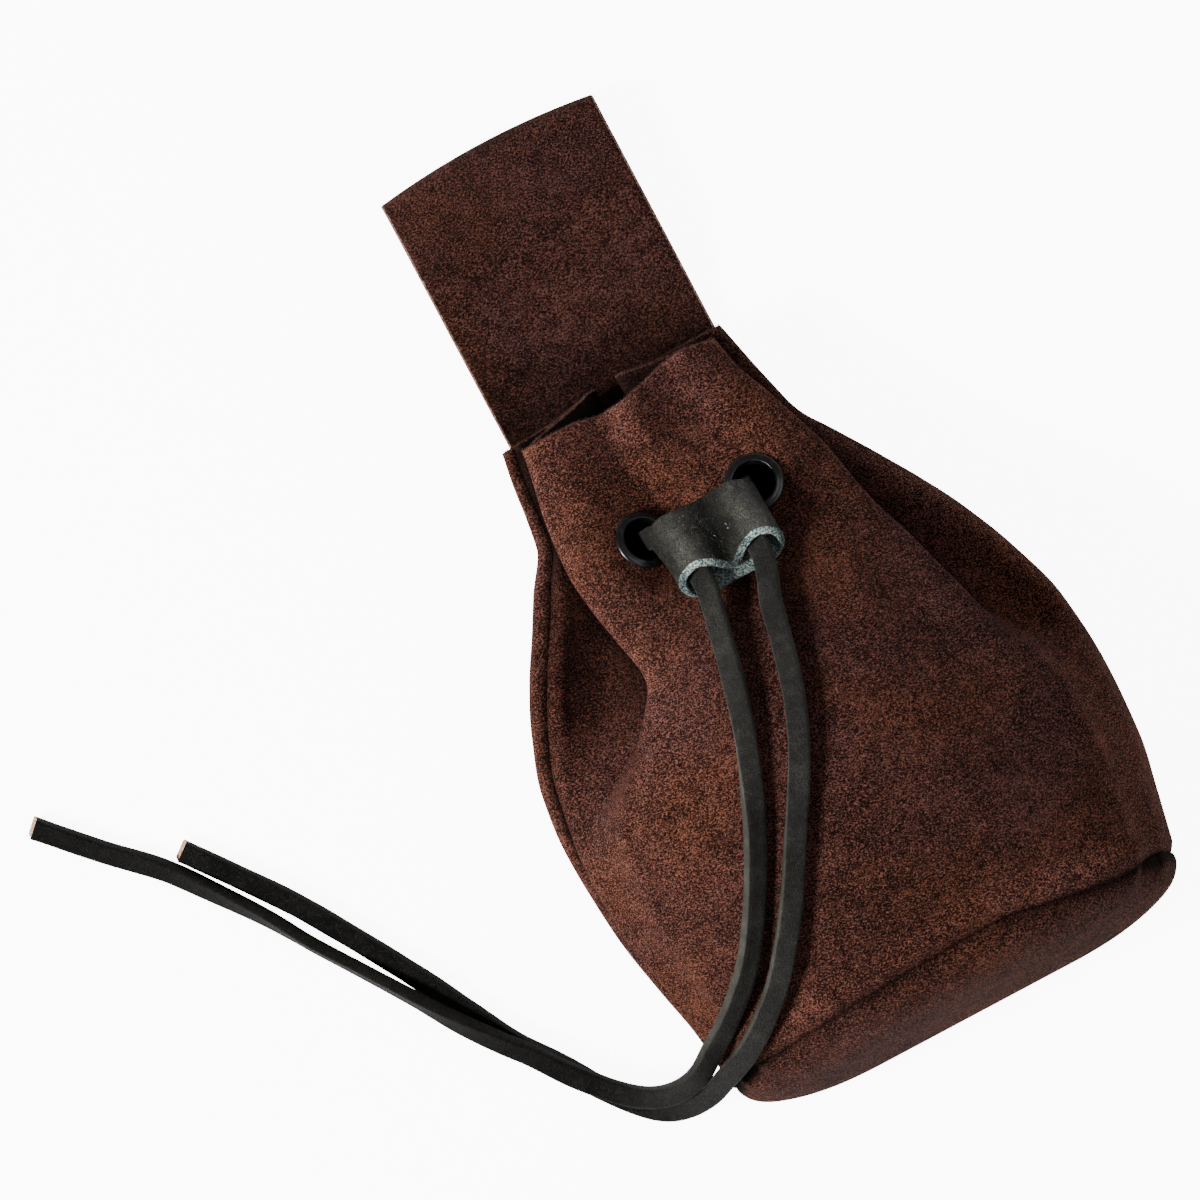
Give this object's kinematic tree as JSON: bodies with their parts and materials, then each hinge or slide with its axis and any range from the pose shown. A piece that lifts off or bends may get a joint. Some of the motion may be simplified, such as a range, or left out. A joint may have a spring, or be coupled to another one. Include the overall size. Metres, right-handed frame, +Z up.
{
  "type": "medieval belt pouch",
  "caption": "Suede drawstring belt pouch lying on its back, with a full rounded body, a pleated neck, a lace through eyelets and a leather slide, and a wide folded belt loop.",
  "frame": {"origin": "on the underside of the back panel where it lies on the surface, in the middle of the pouch across its width, 88 mm from the rim of the mouth", "axes": "+Y from the base towards the mouth and the belt loop, +X across the pouch, +Z up, away from the surface it lies on"},
  "size_m": [0.2311, 0.2235, 0.0565],
  "materials": {
    "suede": "dark reddish-brown suede, napped and matt",
    "suede_strap": "the same suede, a little flatter",
    "slide_leather": "black smooth leather with fine creases and blue-grey cut edges",
    "lace_leather": "black flat leather lace with tan cut ends",
    "eyelet_metal": "black gloss enamel on metal"
  },
  "bodies": {
    "root": {"front_panel": "suede", "back_panel": "suede", "base_panel": "suede", "belt_loop": "suede_strap", "eyelet_left": "eyelet_metal", "eyelet_right": "eyelet_metal", "lace_slide": "slide_leather", "lace_neck": "lace_leather", "lace_left": "lace_leather", "lace_right": "lace_leather"}
  },
  "joints": []
}
